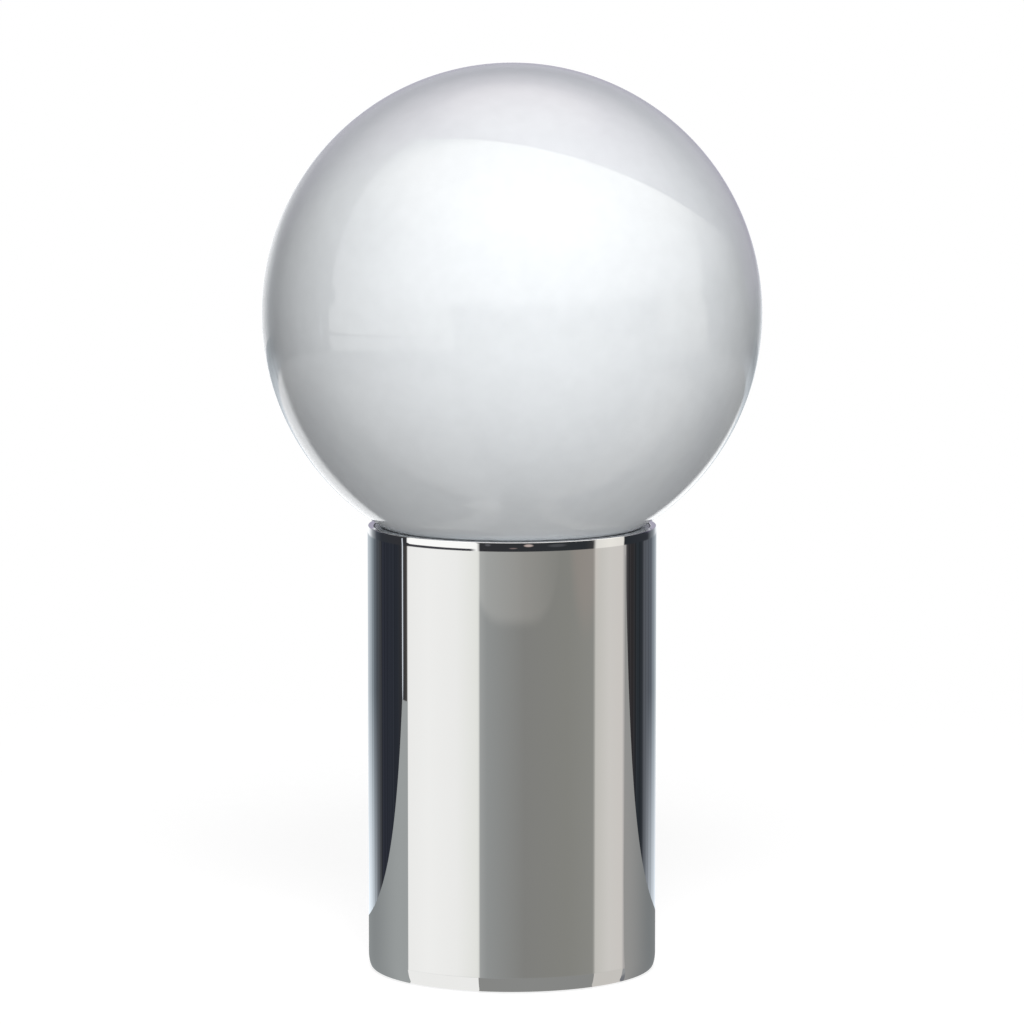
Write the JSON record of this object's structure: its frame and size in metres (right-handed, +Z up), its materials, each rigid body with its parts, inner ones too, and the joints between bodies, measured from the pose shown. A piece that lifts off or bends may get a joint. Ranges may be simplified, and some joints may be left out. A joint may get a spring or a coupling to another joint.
{
  "type": "table lamp",
  "caption": "Round opal glass globe resting in the open top of a mirror-polished metal tube, with an upright screw-in bulb inside.",
  "frame": {"origin": "on the table, in the middle of the foot", "axes": "+Z up along the tube's axis, +Y towards the back, where the cord inlet is"},
  "size_m": [0.2, 0.2, 0.365],
  "materials": {
    "polished_nickel": "mirror-polished nickel plate",
    "zinc_steel": "zinc-plated steel",
    "pressed_steel": "satin pressed steel",
    "cast_iron": "black-painted cast iron",
    "foot_rubber": "matt foam rubber",
    "silicone": "clear white silicone",
    "opal_glass": "glossy opal glass cased in clear",
    "holder_plastic": "moulded white thermoset",
    "steatite": "unglazed steatite",
    "brass": "plain brass",
    "grommet_rubber": "black rubber",
    "nylon": "natural nylon",
    "lead_brown": "brown silicone insulation",
    "lead_blue": "blue silicone insulation",
    "lead_green_yellow": "green insulation with a yellow stripe",
    "tinned_copper": "tin-plated",
    "bulb_diffuser": "frosted opal plastic",
    "bulb_body": "white plastic",
    "bulb_cap": "rolled nickel-plated aluminium",
    "black_glass": "black glass insulator",
    "board": "white solder mask on aluminium",
    "phosphor": "yellow phosphor"
  },
  "bodies": {
    "lamp": {"base_tube": "polished_nickel", "upper_ledge_ring": "zinc_steel", "lower_ledge_ring": "zinc_steel", "base_weight": "cast_iron", "foot_pad": "foot_rubber", "tie_rod": "zinc_steel", "rod_nuts": "zinc_steel", "rod_washers": "zinc_steel", "rod_bush": "nylon", "globe_carrier": "pressed_steel", "seat_ring": "silicone", "holder_cap": "holder_plastic", "holder_sleeve": "holder_plastic", "holder_insert": "steatite", "holder_terminals": "brass", "terminal_screws": "zinc_steel", "screw_shell": "brass", "centre_contact": "brass", "holder_grub_screw": "zinc_steel", "cord_grommet": "grommet_rubber", "terminal_block": "nylon", "block_clamp_screws": "zinc_steel", "block_screws": "zinc_steel", "live_lead": "lead_brown", "neutral_lead": "lead_blue", "earth_lead": "lead_green_yellow", "earth_terminal": "tinned_copper", "earth_screw": "brass", "earth_washer": "zinc_steel"},
    "globe": {"globe": "opal_glass"},
    "bulb_tip": {"bulb_contact": "tinned_copper"},
    "bulb": {"bulb_diffuser": "bulb_diffuser", "bulb_body": "bulb_body", "bulb_cap": "bulb_cap", "bulb_insulator": "black_glass", "bulb_board": "board", "bulb_leds": "phosphor"}
  },
  "joints": [
    {"name": "globe_lift", "type": "slide", "parent": "lamp", "child": "globe", "axis": [0, 0, 1], "range_m": [0, 0.12]},
    {"name": "bulb_travel", "type": "slide", "parent": "lamp", "child": "bulb_tip", "axis": [0, 0, 1], "range_m": [0, 0.01452]},
    {"name": "bulb_turn", "type": "hinge", "parent": "bulb_tip", "child": "bulb", "pos_m": [0, 0, 0.2], "axis": [0, 0, 1], "range_deg": [0, 1440]}
  ],
  "couplings": [
    {"joint": "bulb_travel", "follows": "bulb_turn", "m_per_rad": 0.00057757}
  ]
}
